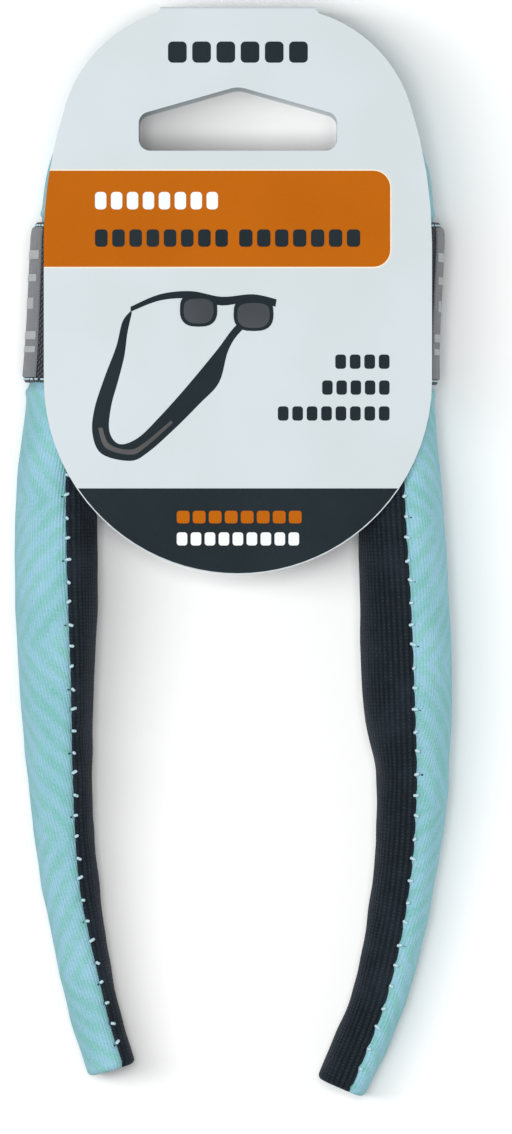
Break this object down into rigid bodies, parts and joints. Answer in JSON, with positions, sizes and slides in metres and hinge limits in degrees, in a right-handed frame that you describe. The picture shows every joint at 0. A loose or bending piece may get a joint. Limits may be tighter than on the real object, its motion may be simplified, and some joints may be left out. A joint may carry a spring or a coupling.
{
  "type": "eyeglass retainer strap",
  "caption": "Foam-core fabric eyewear retainer strap folded into a U, with open temple sleeves, seamed strips, woven bands and a lift-off folded header card.",
  "frame": {"origin": "centre of the strap's bend, on the outer face of the card's back panel", "axes": "+X across the U, +Y from the sleeves to the bend, +Z from the table to the card's front panel"},
  "size_m": [0.0702, 0.1752, 0.0225],
  "materials": {
    "aqua_fabric": "matt printed knit",
    "black_knit": "matt ribbed knit",
    "foam": "matt closed-cell foam",
    "thread": "soft sheen",
    "band": "matt woven",
    "label": "smooth woven",
    "card": "coated printed board"
  },
  "bodies": {
    "neck": {"neck_outer_strip": "aqua_fabric", "neck_inner_strip": "black_knit", "neck_foam_core": "foam", "neck_front_stitches": "thread", "neck_back_stitches": "thread"},
    "left_arm": {"left_outer_strip": "aqua_fabric", "left_inner_strip": "black_knit", "left_foam_core": "foam", "left_front_stitches": "thread", "left_back_stitches": "thread", "left_band": "band", "left_label": "label"},
    "right_arm": {"right_outer_strip": "aqua_fabric", "right_inner_strip": "black_knit", "right_foam_core": "foam", "right_front_stitches": "thread", "right_back_stitches": "thread", "right_band": "band", "right_label": "label"},
    "left_sleeve": {"left_sleeve_outer_strip": "aqua_fabric", "left_sleeve_inner_strip": "black_knit", "left_sleeve_front_stitches": "thread", "left_sleeve_back_stitches": "thread"},
    "right_sleeve": {"right_sleeve_outer_strip": "aqua_fabric", "right_sleeve_inner_strip": "black_knit", "right_sleeve_front_stitches": "thread", "right_sleeve_back_stitches": "thread"},
    "card_spine": {"card_spine": "card"},
    "card_front": {"card_front": "card"},
    "card_back": {"card_back": "card"}
  },
  "joints": [
    {"name": "left_arm_swing", "type": "hinge", "parent": "neck", "child": "left_arm", "pos_m": [-0.0275, 0, 0.01125], "axis": [0, 0, -1], "range_deg": [-2, 30]},
    {"name": "right_arm_swing", "type": "hinge", "parent": "neck", "child": "right_arm", "pos_m": [0.0275, 0, 0.01125], "axis": [0, 0, 1], "range_deg": [-2, 30]},
    {"name": "left_sleeve_flex", "type": "hinge", "parent": "left_arm", "child": "left_sleeve", "pos_m": [-0.029, -0.084, 0.01125], "axis": [0, 0, -1], "range_deg": [-8, 35]},
    {"name": "right_sleeve_flex", "type": "hinge", "parent": "right_arm", "child": "right_sleeve", "pos_m": [0.02805, -0.088, 0.01125], "axis": [0, 0, 1], "range_deg": [-8, 35]},
    {"name": "card_slide", "type": "slide", "parent": "neck", "child": "card_spine", "axis": [0, 1, 0], "range_m": [0, 0.1]},
    {"name": "card_front_fold", "type": "hinge", "parent": "card_spine", "child": "card_front", "pos_m": [0, 0.033, 0.0225], "axis": [-1, 0, 0], "range_deg": [0, 150]},
    {"name": "card_back_fold", "type": "hinge", "parent": "card_spine", "child": "card_back", "pos_m": [0, 0.033, 0], "axis": [1, 0, 0], "range_deg": [0, 100]}
  ]
}
